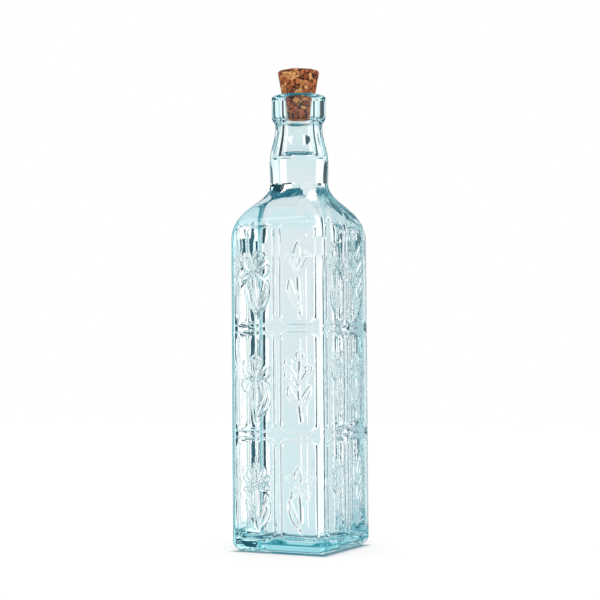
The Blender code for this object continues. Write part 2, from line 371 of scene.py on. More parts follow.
def reliefAt(face, across, up):
    # at points of one face: height of the frames and sprigs, distance to the nearest drawn
    # line, and how much of the stippled ground is there
    shape = panelShape
    height = np.zeros_like(across)
    near = np.full_like(across, np.inf)
    ground = np.zeros_like(across)
    shift = shape["shift"] * (-1) ** face
    for index, (middle, level) in enumerate(panelMiddles):
        x = across - middle - shift
        y = up - level
        close = np.abs(x) < panelWidth / 2 + shape["room"]
        close &= np.abs(y) < panelHeight / 2 + shape["room"]
        if not close.any():
            continue
        x, y = x[close], y[close]
        overX = np.abs(x) - panelWidth / 2 + shape["corner"]
        overY = np.abs(y) - panelHeight / 2 + shape["corner"]
        beyond = np.hypot(np.maximum(overX, 0), np.maximum(overY, 0))
        out = beyond + np.minimum(np.maximum(overX, overY), 0) - shape["corner"]
        share = np.clip(np.abs(out) / shape["beadReach"], 0, 1)
        bead = shape["beadHeight"] * shape["beads"][face] * np.cos(share * math.pi / 2) ** 2
        drawn, line = sprigHeight(sprigs[sprigsOnFace[face % 2][index]], x, y)
        raised = np.maximum(bead, drawn * shape["relief"][face])
        height[close] = np.maximum(height[close], raised)
        near[close] = np.minimum(near[close], line)
        fromFrame = np.clip((-out - shape["groundInset"]) / shape["groundFade"], 0, 1)
        fromLine = np.clip((line - shape["groundGap"]) / shape["groundFade"], 0, 1)
        ground[close] = np.maximum(ground[close], fromFrame * fromLine)
    return height, near, ground


def columnTurns():
    # polar angles of the upright lines of the mesh, denser across the beads
    corner = glassShape["corner"]
    core = bodyHalf - corner
    outer = panelShape["columnGap"] / 2 + panelWidth
    inner = panelShape["columnGap"] / 2
    turns = []
    for face in range(4):
        shift = panelShape["shift"] * (-1) ** face
        beads = [shift - outer, shift - inner, shift + inner, shift + outer]
        lines = [bead + offset for bead in beads for offset in panelShape["beadLines"]]
        marks = sorted({-core, core, *[u for u in lines if abs(u) < core - 0.1]})
        flat = [math.atan2(u, bodyHalf) for u in stepsBetween(marks, glassShape["gridStep"])]
        for bend in [math.radians(turn) for turn in glassShape["cornerTurns"]]:
            flat.append(math.atan2(core + corner * math.sin(bend), core + corner * math.cos(bend)))
        turns += [math.tau * face / 4 + a - math.pi / 2 for a in flat]
    return turns


def ringPoints(turns, half, corner):
    # where each upright line crosses one level, a square with round corners
    side = np.round((turns + math.pi / 2) / (math.pi / 2))
    local = turns + math.pi / 2 - side * math.pi / 2
    core = half - corner
    a = np.abs(local)
    reach = half / np.cos(a)
    onCorner = half * np.tan(a) > core
    along = core * (np.cos(a) + np.sin(a))
    root = np.sqrt(np.maximum(along**2 - 2 * core**2 + corner**2, 0))
    reach = np.where(onCorner, along + root, reach)
    return np.stack([reach * np.cos(turns), reach * np.sin(turns)], axis=1)


def outsideLevels():
    # half width, height and corner from the foot to the mouth, and where the panels' rows end
    shape = glassShape
    centre = (bodyHalf - shape["heel"], shape["heel"])
    levels = [(half, z, shape["corner"]) for half, z in arc(centre, shape["heel"], -90, 0, 7)]
    beads = []
    for row in range(3):
        low = panelShape["footMargin"] + row * (panelHeight + panelShape["rowGap"])
        beads += [low, low + panelHeight]
    lines = [bead + offset for bead in beads for offset in panelShape["beadLines"]]
    marks = [shape["heel"], *lines, beads[-1] + panelShape["topRoom"]]
    rows = stepsBetween(marks, shape["gridStep"])[1:]
    joinIndex = len(levels) + len(rows)
    rows += stepsBetween([rows[-1], rootHeight], shape["shoulderStep"])[1:]
    halves, heights = zip(*outerShoulder(80))
    for z in rows:
        half = float(np.interp(z, heights, halves))
        levels.append((half, z, cornerAt(half, bodyHalf, shape["neckRoot"], shape["corner"])))
    root = (shape["neckRoot"], rootHeight)
    widest = (shape["bulge"][0], bulgeHeight)
    narrowest = (shape["neckTop"][0], lipFoot)
    bulge = sCurve(root, widest, shape["bulge"][2], shape["bulge"][2], 7)
    taper = sCurve(widest, narrowest, shape["neckTop"][2], shape["neckTop"][2], 14)
    radius, _, underside, pull, edge = shape["lip"]
    swell = sCurve(narrowest, (radius, lipFoot + underside), pull, pull, 10)
    sideHeight = rimHeight - edge - lipFoot - underside
    side = [(radius, lipFoot + underside + sideHeight * i / 4) for i in range(1, 5)]
    top = arc((radius - edge, rimHeight - edge), edge, 0, 90, 4)
    bore, _, rounding = shape["bore"]
    mouth = arc((bore + rounding, rimHeight - rounding), rounding, 90, 180, 9)
    for r, z in bulge[1:] + taper[1:] + swell[1:] + side + top[1:] + mouth:
        levels.append((r, z, r))
    return levels, joinIndex


def neckInside(steps):
    foot, top = (innerRoot, rootHeight), (glassShape["bore"][0], boreFoot)
    return sCurve(foot, top, *glassShape["innerPulls"], steps)


def insideLevels():
    # the same from the bore down to the inner heel
    shape = glassShape
    bore = shape["bore"][0]
    levels = [(bore, rimHeight - below, bore) for below in shape["boreLines"]]
    levels += [(r, z, r) for r, z in reversed(neckInside(20))]
    halfInside = bodyHalf - shape["wall"]
    for outer, z in reversed(outerShoulder(16)[:-1]):
        half = outer - shape["wall"]
        levels.append((half, z, cornerAt(half, halfInside, innerRoot, shape["innerCorner"])))
    heelTop = shape["base"] + shape["innerHeel"]
    for z in stepsBetween([heelTop, shape["bodyHeight"]], shape["wallStep"])[-2::-1]:
        levels.append((halfInside, z, shape["innerCorner"]))
    centre = (halfInside - shape["innerHeel"], heelTop)
    for half, z in arc(centre, shape["innerHeel"], 0, -90, 6)[1:]:
        levels.append((half, z, shape["innerCorner"]))
    return levels


def startRing(turns, half, height, corner):
    # a filled first ring; each point keeps the number of its upright line
    bm = bmesh.new()
    layer = bm.verts.layers.int.new("column")
    ring = bmesh.ops.create_circle(bm, segments=len(turns), radius=1)["verts"]
    ring.sort(key=lambda v: math.atan2(v.co.y, v.co.x) % math.tau)
    points = ringPoints(turns, half * mm, corner * mm)
    for index, vert in enumerate(ring):
        vert[layer] = index
        vert.co = (*points[index], height * mm)
    bmesh.ops.contextual_create(bm, geom=ring)
    return bm, layer, list(bm.edges)


def extrudeRing(bm, edges, layer, turns, half, height, corner):
    grown = bmesh.ops.extrude_edge_only(bm, edges=edges)["geom"]
    points = ringPoints(turns, half * mm, corner * mm)
    for vert in [g for g in grown if isinstance(g, bmesh.types.BMVert)]:
        x, y = points[vert[layer]]
        vert.co = (x, y, height * mm)
    # the new ring's own edges, not the ones that join it to the ring before
    level = 1e-7  # metres
    ring = []
    for edge in [g for g in grown if isinstance(g, bmesh.types.BMEdge)]:
        a, b = edge.verts
        if a[layer] != b[layer] and abs(a.co.z - b.co.z) < level:
            ring.append(edge)
    return ring


def facesOf(points):
    # face of each point: 0 front, 1 right, 2 back, 3 left; and how far out that way it is
    x, y = points[:, 0], points[:, 1]
    face = np.round(np.arctan2(x, -y) / (math.pi / 2)).astype(int) % 4
    return face, np.where(face % 2 == 0, np.abs(y), np.abs(x))


def placesOf(mesh):
    # points in millimetres, and the level way out from the middle at each
    places = np.zeros(len(mesh.vertices) * 3)
    mesh.vertices.foreach_get("co", places)
    places = places.reshape(-1, 3) / mm
    away = np.maximum(np.hypot(places[:, 0], places[:, 1]), 1e-6)
    return places, places[:, :2] / away[:, None]


def wallWaves(places, amount):
    long, short = glassShape["waveLengths"]
    share = glassShape["shortWaveShare"]
    waves = [noise.noise(Vector(p) / long) + share * noise.noise(Vector(p) / short) for p in places]
    above, low, high = glassShape["waveFades"]
    amount = amount * np.clip((places[:, 2] - above) / low, 0, 1)
    amount = amount * np.clip((lipFoot - places[:, 2]) / high, 0, 1)
    return (np.array(waves) * amount)[:, None]


def addPiece(name, mesh):
    mesh.shade_smooth()
    piece = bpy.data.objects.new(name, mesh)
    bpy.context.scene.collection.objects.link(piece)
    return piece


def makeGlass():
    shape = glassShape
    turns = np.array(columnTurns())
    count = len(turns)
    puntRadius, puntDepth = shape["punt"]
    puntRings = 5
    rings = []
    for step in range(1, puntRings + 1):
        share = step / puntRings
        rings.append((puntRadius * share, puntDepth * (1 - share**2), puntRadius * share))
    bm, layer, edges = startRing(turns, *rings[0])  # the middle of the push-up
    for half, height, corner in rings[1:]:
        edges = extrudeRing(bm, edges, layer, turns, half, height, corner)
    levels, joinIndex = outsideLevels()
    for half, height, corner in levels[:joinIndex]:
        edges = extrudeRing(bm, edges, layer, turns, half, height, corner)
    # above the panels every second upright line ends
    half, height, corner = levels[joinIndex]
    edges = extrudeRing(bm, edges, layer, turns, half, height, corner)
    above = sorted({v for e in edges for v in e.verts}, key=lambda v: v[layer])
    bmesh.ops.weld_verts(bm, targetmap={above[i]: above[i - 1] for i in range(1, count, 2)})
    kept = {above[i] for i in range(0, count, 2)}
    edges = [e for e in bm.edges if e.verts[0] in kept and e.verts[1] in kept]
    for half, height, corner in levels[joinIndex + 1 :]:
        edges = extrudeRing(bm, edges, layer, turns, half, height, corner)
    for half, height, corner in insideLevels():
        edges = extrudeRing(bm, edges, layer, turns, half, height, corner)
    flatHalf = bodyHalf - shape["wall"] - shape["innerHeel"]
    floor = shape["base"] + 0.001  # a hair up, off the heel's last ring
    for share in (0.75, 0.5, 0.25):
        half, corner = flatHalf * share, shape["innerCorner"] * share
        edges = extrudeRing(bm, edges, layer, turns, half, floor, corner)
    bmesh.ops.edgenet_fill(bm, edges=edges)
    print("glass rings:", len(bm.verts), "points,", len(bm.faces), "faces")

    # finer faces where a sprig is drawn
    bm.faces.ensure_lookup_table()
    middles = np.array([f.calc_center_median() for f in bm.faces]) / mm
    face, outward = facesOf(middles)
    lineNear = np.full(len(middles), np.inf)
    for side in range(4):
        turn = side * math.pi / 2
        mine = (face == side) & (outward > bodyHalf - pressing["drawnDepth"])
        mine &= middles[:, 2] > pressing["drawnFoot"]
        across = middles[mine, 0] * math.cos(turn) + middles[mine, 1] * math.sin(turn)
        lineNear[mine] = reliefAt(side, across, middles[mine, 2])[1]
    fine = [bm.faces[i] for i in np.flatnonzero(lineNear < panelShape["fineReach"])]
    fineEdges = list({e for f in fine for e in f.edges})
    bmesh.ops.subdivide_edges(bm, edges=fineEdges, cuts=2, use_grid_fill=True)
    # faces beside the fine ones have gained corners; the two round ends stay whole
    large = [f for f in bm.faces if 4 < len(f.verts) < 40]
    bmesh.ops.triangulate(bm, faces=large)
    bmesh.ops.recalc_face_normals(bm, faces=bm.faces)
    mesh = bpy.data.meshes.new("aqua_bottle")
    bm.to_mesh(mesh)
    bm.free()
    triangles = sum(len(p.vertices) - 2 for p in mesh.polygons)
    print("glass refined:", len(mesh.vertices), "points,", triangles, "triangles")

    # press the frames and sprigs, and let the walls waver
    places, radial = placesOf(mesh)
    up = places[:, 2]
    face, outward = facesOf(places)
    halves, heights = zip(*outerShoulder(80))
    skin = np.interp(up, heights, halves) - pressing["skinDepth"]
    lowest, highest = pressing["heights"]
    outside = (outward > skin) & (up > lowest) & (up < highest)
    sinkLow, sinkHigh, fade = shape["sinkEnds"]
    grounds = np.zeros(len(places))
    pressed = places.copy()
    for side in range(4):
        turn = side * math.pi / 2
        normal = np.array([math.sin(turn), -math.cos(turn)])
        mine = outside & (face == side)
        across = places[mine, 0] * math.cos(turn) + places[mine, 1] * math.sin(turn)
        height, _, ground = reliefAt(side, across, up[mine])
        ends = np.clip((up[mine] - sinkLow) / fade, 0, 1) * np.clip((sinkHigh - up[mine]) / fade, 0, 1)
        middle = np.clip(1 - (across / (bodyHalf - shape["corner"])) ** 2, 0, 1)
        pressed[mine, :2] += (height - shape["sink"] * middle * ends)[:, None] * normal
        grounds[mine] = ground * panelShape["stipple"][side]
    inner = (up > shape["base"] - 1) & (up < rootHeight) & (outward < skin)
    neckBore = np.hypot(places[:, 0], places[:, 1]) < innerRoot + pressing["neckSlack"]
    inner |= (up >= rootHeight) & (up < boreFoot) & neckBore
    amount = np.where(inner, shape["waveInside"], shape["waveOutside"])
    pressed[:, :2] += radial * wallWaves(places, amount)
    mesh.vertices.foreach_set("co", (pressed * mm).ravel())
    stipple = mesh.attributes.new("stippled", "FLOAT", "POINT")
    stipple.data.foreach_set("value", grounds.astype(np.float32))
    wetTop = oilShape["level"] + pressing["wetAbove"]
    wet = [inner[list(p.vertices)].all() and p.center.z / mm < wetTop for p in mesh.polygons]
    wetted = mesh.attributes.new("wet", "FLOAT", "FACE")
    wetted.data.foreach_set("value", np.array(wet).astype(np.float32))
    return addPiece("aqua_bottle", mesh)


# The oil fills the glass up to the upper neck.
oilShape = {
    "level": 259.6,
    "meniscus": 2.0,  # how far the oil climbs the glass
    "climb": 1.3,  # how fast that falls off
    "overlap": 0.06,  # into the glass, so that no air shows between them
    "segments": 96,
    "surfaceRings": (0.25, 0.55, 0.9, 1.3, 1.8, 2.4, 3.2, 4.4, 6.0),  # in from the edge
}


def makeOil():
    shape = oilShape
    overlap = shape["overlap"]
    turns = np.array([math.tau * i / shape["segments"] for i in range(shape["segments"])])
    levels = [place for place in reversed(insideLevels()) if place[1] < shape["level"] - 0.5]
    radii, heights = zip(*neckInside(60))
    for z in (shape["level"], shape["level"] + shape["meniscus"]):
        r = float(np.interp(z, heights, radii))
        levels.append((r, z, r))
    half, _, corner = levels[0]
    bm, layer, edges = startRing(turns, half + overlap, glassShape["base"] - overlap, corner)
    for half, z, corner in levels[1:]:
        edges = extrudeRing(bm, edges, layer, turns, half + overlap, z, corner + overlap)
    sideFaces = len(bm.faces)
    top = levels[-1][0]
    for inward in shape["surfaceRings"]:
        z = shape["level"] + shape["meniscus"] * math.exp(-inward / shape["climb"])
        edges = extrudeRing(bm, edges, layer, turns, top - inward, z, top - inward)
    bmesh.ops.edgenet_fill(bm, edges=edges)
    bmesh.ops.recalc_face_normals(bm, faces=bm.faces)
    mesh = bpy.data.meshes.new("clear_oil")
    bm.to_mesh(mesh)
    bm.free()
    index = np.ones(len(mesh.polygons), np.int32)  # sides
    index[sideFaces:] = 0  # top surface
    mesh.polygons.foreach_set("material_index", index)
    places, radial = placesOf(mesh)
    places[:, :2] += radial * wallWaves(places, glassShape["waveInside"])
    mesh.vertices.foreach_set("co", (places * mm).ravel())
    return addPiece("clear_oil", mesh)


# The cork, as its solid, with grains, seams and pits in its skin.
corkShape = {
    "topRadius": 13.75,
    "stand": 17.0,
    "depth": 13.0,
    "tipRadius": 7.9,
    "edge": 0.8,
    "clearance": 0.3,
    "segments": 150,
    "tipRings": (4, 0.1, 1.4),  # how many, and how much wider and higher each one is
    "sideRings": 26,
    "topRings": 20,
    "skinGrain": 2.1,
    "seam": (0.22, 0.3),  # width as a share of the grain, depth
    "pit": (1.7, 0.34, 2.6, 0.5),  # size, share of the noise that stays flat, slope, depth
    "wave": (6.0, 0.16),  # length, height
    "skinLift": (-0.1, 0.14),  # all of the skin, and what stands above the rim
    "aboveRim": (0.2, 1.5),  # where the full skin starts, and over what height
    "squeezedShare": 0.35,  # of that depth, inside the mouth
}


def makeCork():
    shape = corkShape
    bore, _, rounding = glassShape["bore"]
    edge = shape["edge"]
    tip = rimHeight - shape["depth"]
    top = rimHeight + shape["stand"]
    squeeze = rounding + shape["clearance"]
    rimTurn = 180 - math.degrees(math.asin(rounding / squeeze))
    profile = [(shape["tipRadius"] - edge, tip), (shape["tipRadius"], tip + edge)]
    count, wider, higher = shape["tipRings"]
    for i in range(1, count + 1):
        profile.append((shape["tipRadius"] + wider * i, tip + edge + higher * i))
    profile += arc((bore + rounding, rimHeight - rounding), squeeze, 180, rimTurn, 9)
    low = profile[-1]
    high = (shape["topRadius"], top - edge)
    for i in range(1, shape["sideRings"] + 1):
        profile.append([a + (b - a) * i / shape["sideRings"] for a, b in zip(low, high)])
    profile += arc((shape["topRadius"] - edge, top - edge), edge, 20, 90, 4)
    rings = shape["topRings"]
    profile += [((shape["topRadius"] - edge) * (1 - i / rings), top) for i in range(1, rings)]
    turns = np.array([math.tau * i / shape["segments"] for i in range(shape["segments"])])
    bm, layer, edges = startRing(turns, *profile[0], profile[0][0])
    for radius, height in profile[1:]:
        edges = extrudeRing(bm, edges, layer, turns, radius, height, radius)
    bmesh.ops.edgenet_fill(bm, edges=edges)
    bmesh.ops.recalc_face_normals(bm, faces=bm.faces)
    bm.normal_update()
    seamShare, seamDepth = shape["seam"]
    pitSize, pitFlat, pitSlope, pitDepth = shape["pit"]
    waveLength, waveHeight = shape["wave"]
    lift, liftAbove = shape["skinLift"]
    skinStart, skinRise = shape["aboveRim"]
    least = shape["squeezedShare"]
    for vert in bm.verts:
        place = vert.co / mm
        cells = noise.voronoi(place / shape["skinGrain"])[0]
        crack = min((cells[1] - cells[0]) / seamShare, 1)  # 0 along the seams between grains
        pit = max(0, noise.noise(place / pitSize) - pitFlat) * pitSlope
        wave = noise.noise(place / waveLength) * waveHeight
        above = min(max((place.z - rimHeight - skinStart) / skinRise, 0), 1)
        sink = lift - (1 - crack) * seamDepth - pit * pitDepth
        depth = sink * (least + (1 - least) * above) + (wave + liftAbove) * above
        vert.co += vert.normal * mm * depth
    mesh = bpy.data.meshes.new("grain_cork")
    bm.to_mesh(mesh)
    bm.free()
    print("cork:", len(mesh.polygons), "faces")
    return addPiece("grain_cork", mesh)


# Soda-lime glass with a little iron and copper, pressed hot: clear and glossy, aqua through
# its thickness, with the fine pitted ground that a sand-finished mould leaves in the panels.
pressedGlass = {
    "ior": 1.52,
    "roughness": 0.0,
    "absorb": (0.0, 0.80, 0.88),  # share of each colour let through
    "density": 12.0,  # per metre
    "pitSize": 1.4,  # sand's own pits are too fine to show, so these are coarser
    "pitBump": 0.016,
    "ripple": 11.0,  # across a slow wave of the surface
    "rippleBump": 0.02,
}


def glassMaterial():
    s = pressedGlass
    material = newMaterial("pressed_aqua_glass")
    tree = material.node_tree
    place = addNode(tree, "TexCoord").outputs["Object"]
    # where oil touches the glass, light bends by the ratio of the two only
    wet = addNode(tree, "Attribute", {"attribute_name": "wet"}).outputs["Fac"]
    bends = {"To Min": s["ior"], "To Max": s["ior"] / clearOil["ior"]}
    bend = addNode(tree, "MapRange", bends, {"Value": wet})
    size = {"Scale": 1 / (s["pitSize"] * mm), "Detail": 0.0}
    pits = addNode(tree, "TexNoise", size, {"Vector": place}).outputs["Fac"]
    ground = addNode(tree, "Attribute", {"attribute_name": "stippled"}).outputs["Fac"]
    depth = addNode(tree, "Math", {"operation": "MULTIPLY"}, {0: pits, 1: ground})
    bump = {"Strength": 1.0, "Distance": s["pitBump"] * mm}
    fine = addNode(tree, "Bump", bump, {"Height": depth})
    size = {"Scale": 1 / (s["ripple"] * mm), "Detail": 1.0}
    waves = addNode(tree, "TexNoise", size, {"Vector": place}).outputs["Fac"]
    bump = {"Strength": 1.0, "Distance": s["rippleBump"] * mm}
    links = {"Height": waves, "Normal": fine.outputs["Normal"]}
    slow = addNode(tree, "Bump", bump, links)
    clear = {"Base Color": (1, 1, 1, 1), "Roughness": s["roughness"], "Transmission Weight": 1.0}
    links = {"IOR": bend, "Normal": slow.outputs["Normal"]}
    shader = addNode(tree, "BsdfPrincipled", {**clear, "IOR": s["ior"]}, links)
    soak = {"Color": (*s["absorb"], 1), "Density": s["density"]}
    volume = addNode(tree, "VolumeAbsorption", soak)
    addNode(tree, "OutputMaterial", None, {"Surface": shader, "Volume": volume})
    return material


# Clear vegetable oil: bends light almost as the glass does, so the inner wall nearly vanishes.
clearOil = {"ior": 1.47}


def oilMaterial(name, surface):
    # the oil's sides lie in the glass, whose wet faces bend the light for both
    material = newMaterial(name)
    tree = material.node_tree
    if surface:
        clear = {"Base Color": (1, 1, 1, 1), "Roughness": 0.0, "Transmission Weight": 1.0}
        shader = addNode(tree, "BsdfPrincipled", {**clear, "IOR": clearOil["ior"]})
    else:
        shader = addNode(tree, "BsdfTransparent")
    addNode(tree, "OutputMaterial", None, {"Surface": shader})
    return material


# Agglomerated cork: bark ground to 1-4 mm grains and pressed with a binder, then turned.
# The eye sees patches of tan and brown with dark seams and pits between them.
grainCork = {
    "grain": 3.3,  # across, about the largest chips
    "warp": (1.9, 1.5),  # size and strength of what tears their outlines
    "tones": ((0.08, "#9A4A24"), (0.38, "#BC6638"), (0.66, "#CC7A46"), (0.88, "#EBAE6C")),
    "fleck": 0.45,
    "fleckLevels": (0.33, 0.62, 0.5, 1.2),  # from and to of the noise, then of its brightness
    "fleckShare": 0.8,
    "seam": "#2A1008",
    "seamLength": 2.4,
    "seamWidths": (0.42, 0.64, 0.015, 0.17),  # from and to of the noise, then of the width
    "seamPower": 2.5,  # higher gives wider dark seams
    "relief": (0.4, 0.5),  # depth, and the share that the flecks have in it
    "roughness": 0.8,
    "ior": 1.45,
    # The lower end is multiplied by this, so that it looks as in the photo through the aqua lip.
    "behindGlass": (1.4, 1.06, 0.92),
    "behindEnds": (1.5, -1.0),  # from the rim: where that starts, and where it is whole
}


def corkMaterial():
    s = grainCork
    material = newMaterial("agglomerated_cork")
    tree = material.node_tree
    place = addNode(tree, "TexCoord").outputs["Object"]
    # chips with torn outlines: cells of a pattern that is bent by noise
    tearSize, tearReach = s["warp"]
    size = {"Scale": 1 / (tearSize * mm), "Detail": 3.0, "Roughness": 0.65}
    warp = addNode(tree, "TexNoise", size, {"Vector": place}).outputs["Color"]
    middle = {"operation": "SUBTRACT", 1: (0.5, 0.5, 0.5)}
    centred = addNode(tree, "VectorMath", middle, {0: warp})
    reach = {"operation": "SCALE", "Scale": 2 * tearReach * mm}
    bend = addNode(tree, "VectorMath", reach, {0: centred})
    moved = addNode(tree, "VectorMath", {"operation": "ADD"}, {0: place, 1: bend})
    size = {"Scale": 1 / (s["grain"] * mm)}
    cells = addNode(tree, "TexVoronoi", size, {"Vector": moved}).outputs["Color"]
    size["feature"] = "DISTANCE_TO_EDGE"
    edges = addNode(tree, "TexVoronoi", size, {"Vector": moved}).outputs["Distance"]
    pick = addNode(tree, "SeparateColor", None, {"Color": cells})
    tones = addNode(tree, "ValToRGB", None, {"Fac": pick})
    stops = tones.color_ramp.elements
    for index, (share, colour) in enumerate(s["tones"]):
        stop = stops[index] if index < 2 else stops.new(share)
        stop.position = share
        stop.color = (*hexToLinear(colour), 1)
    # lighter and darker flecks inside each chip
    ends = ("From Min", "From Max", "To Min", "To Max")
    size = {"Scale": 1 / (s["fleck"] * mm), "Detail": 3.0}
    fine = addNode(tree, "TexNoise", size, {"Vector": place}).outputs["Fac"]
    levels = dict(zip(ends, s["fleckLevels"]))
    speck = addNode(tree, "MapRange", levels, {"Value": fine})
    share = {"blend_type": "MULTIPLY", "Fac": s["fleckShare"]}
    links = {"Color1": tones, "Color2": speck}
    fleck = addNode(tree, "MixRGB", share, links)
    # seams open and close along their length, so the dark shows as short strokes
    size = {"Scale": 1 / (s["seamLength"] * mm), "Detail": 1.0}
    opening = addNode(tree, "TexNoise", size, {"Vector": place}).outputs["Fac"]
    widths = dict(zip(ends, s["seamWidths"]))
    width = addNode(tree, "MapRange", widths, {"Value": opening})
    divide = {"operation": "DIVIDE", "use_clamp": True}
    seam = addNode(tree, "Math", divide, {0: edges, 1: width})
    power = {"operation": "POWER", 1: s["seamPower"]}
    hard = addNode(tree, "Math", power, {0: seam})
    colour = {"Color1": (*hexToLinear(s["seam"]), 1)}
    dark = addNode(tree, "MixRGB", colour, {"Fac": hard, "Color2": fleck})
    height = addNode(tree, "SeparateXYZ", None, {"Vector": place}).outputs["Z"]
    start, whole = [(rimHeight + end) * mm for end in s["behindEnds"]]
    limits = {"From Min": start, "From Max": whole}
    below = addNode(tree, "MapRange", limits, {"Value": height})
    colour = {"blend_type": "MULTIPLY", "Color2": (*s["behindGlass"], 1)}
    skin = addNode(tree, "MixRGB", colour, {"Fac": below, "Color1": dark})
    deep, fleckDeep = s["relief"]
    uneven = {"operation": "MULTIPLY_ADD", 1: fleckDeep}
    rough = addNode(tree, "Math", uneven, {0: fine, 2: hard})
    bump = {"Strength": 1.0, "Distance": deep * mm}
    normal = addNode(tree, "Bump", bump, {"Height": rough}).outputs["Normal"]
    finish = {"Roughness": s["roughness"], "IOR": s["ior"]}
    links = {"Base Color": skin, "Normal": normal}
    shader = addNode(tree, "BsdfPrincipled", finish, links)
    addNode(tree, "OutputMaterial", None, {"Surface": shader})
    return material


# Floor and studio. The camera sees a white room. Rays through the glass see coloured sheets
# in its place, set for the one view of the photo: they give the glass its dark lines
# and most of its teal. In plain white light it is a pale aqua with few lines.
room = {
    "floorSize": 1.6,  # metres
    "floorGlow": 0.62,
    "floorWhite": 0.44,
    "paintedShadeUnderGlass": (0.0, 0.10, 0.145),  # painted teal shadow on the table there, in place of the weak light that comes down through the glass
    "footprint": (0.029, 0.037),  # metres from the middle: where that ends
    # What the glass sees, in bands from the floor up. Each band has the elevations where it
    # starts, the colour of its plain sheet, and other sheets by azimuth: from, to, colour.
    "bands": (
        ((-90, -90), (0.30, 0.60, 0.66), ()),
        ((-60, -56), (0.80, 0.87, 0.90), "low"),
        ((-43.5, -42.5), (0.80, 0.87, 0.90), "gap"),
        ((-38.5, -37.5), (0.80, 0.87, 0.90), "low"),
        ((-23, -22), (0.80, 0.87, 0.90), ()),
        ((-14, -10), (0.71, 0.87, 0.91), "body"),
        ((-7, 4), (0.82, 0.87, 0.89), "body"),
        ((3.4, 3.8), (0.82, 0.87, 0.89), "neck"),
        ((17, 18), (0.82, 0.87, 0.89), "high"),
        ((26, 27), (0.0, 0.04, 0.06), ()),
        ((29, 30), (0.84, 0.88, 0.90), "top"),
    ),
    "top": ((200, 228, (0.0, 0.30, 0.38)),),
    "low": ((262, 350, (0.0, 0.16, 0.22)),),
    "gap": ((262, 298, (0.0, 0.16, 0.22)),),
    "high": (
        (140, 156, (0.0, 0.08, 0.12)),
        (204, 220, (0.0, 0.34, 0.44)),
        (250, 272, (0.0, 0.01, 0.014)),
    ),
    "neck": (
        (118, 138, (1.2, 1.2, 1.2)),
        (140, 156, (0.0, 0.08, 0.12)),
        (156, 176, (1.15, 1.15, 1.15)),
        (181, 190, (1.3, 1.2, 1.2)),
        (230, 246, (1.3, 1.2, 1.2)),
        (248, 272, (0.0, 0.01, 0.014)),
        (272, 292, (1.2, 1.2, 1.2)),
        (323, 346, (0.0, 0.12, 0.18)),
    ),
    "body": (
        (60, 67, (0.02, 0.20, 0.27)),
        (100, 122, (1.5, 1.3, 1.25)),
        (122, 131, (0.0, 0.10, 0.16)),
        (131, 151, (1.6, 1.35, 1.3)),
        (151, 158, (0.0, 0.08, 0.13)),
        (158, 166, (1.5, 1.3, 1.25)),
        (166, 173, (0.0, 0.16, 0.22)),
        (184, 197, (0.0, 0.05, 0.07)),
        (197, 202, (1.4, 1.3, 1.3)),
        (216, 228, (1.4, 1.35, 1.35)),
        (234, 242, (0.0, 0.08, 0.12)),
        (242, 255, (1.3, 1.3, 1.3)),
        (255, 263, (0.0, 0.08, 0.12)),
        (279, 286, (0.0, 0.08, 0.12)),
        (286, 296, (1.5, 1.35, 1.3)),
        (296, 306, (0.0, 0.08, 0.12)),
        (318, 328, (1.6, 1.4, 1.4)),
        (328, 333, (0.0, 0.06, 0.10)),
        (333, 337, (1.5, 1.4, 1.4)),
        (337, 346, (0.0, 0.06, 0.10)),
    ),
    # what shines off the outside of the glass: a dim room with two soft boxes
    "dim": 0.22,
    "boxes": ((306, 324, 2.2), (107, 142, 1.8)),  # from, to, level
    "boxEnds": (-12.0, 40.0),
    "boxFades": (0.02, 0.035),  # radians, below the lower end and above the upper one
}


def hangSheets(tree, share, plain, sheets):
    # colour by azimuth: each sheet starts where it says, and the plain one fills the rest
    ramp = addNode(tree, "ValToRGB", None, {"Fac": share})
    ramp.color_ramp.interpolation = "CONSTANT"
    starts = {0.0: plain}
    for first, last, colour in sheets:
        low, high = [((a + 180) % 360) / 360 for a in (first, last)]
        starts[low] = colour
        starts.setdefault(high, plain)
    elements = ramp.color_ramp.elements
    elements.remove(elements[1])
    for place, colour in sorted(starts.items()):
        element = elements[0] if place == 0.0 else elements.new(place)
        element.color = (*colour, 1)
    return ramp


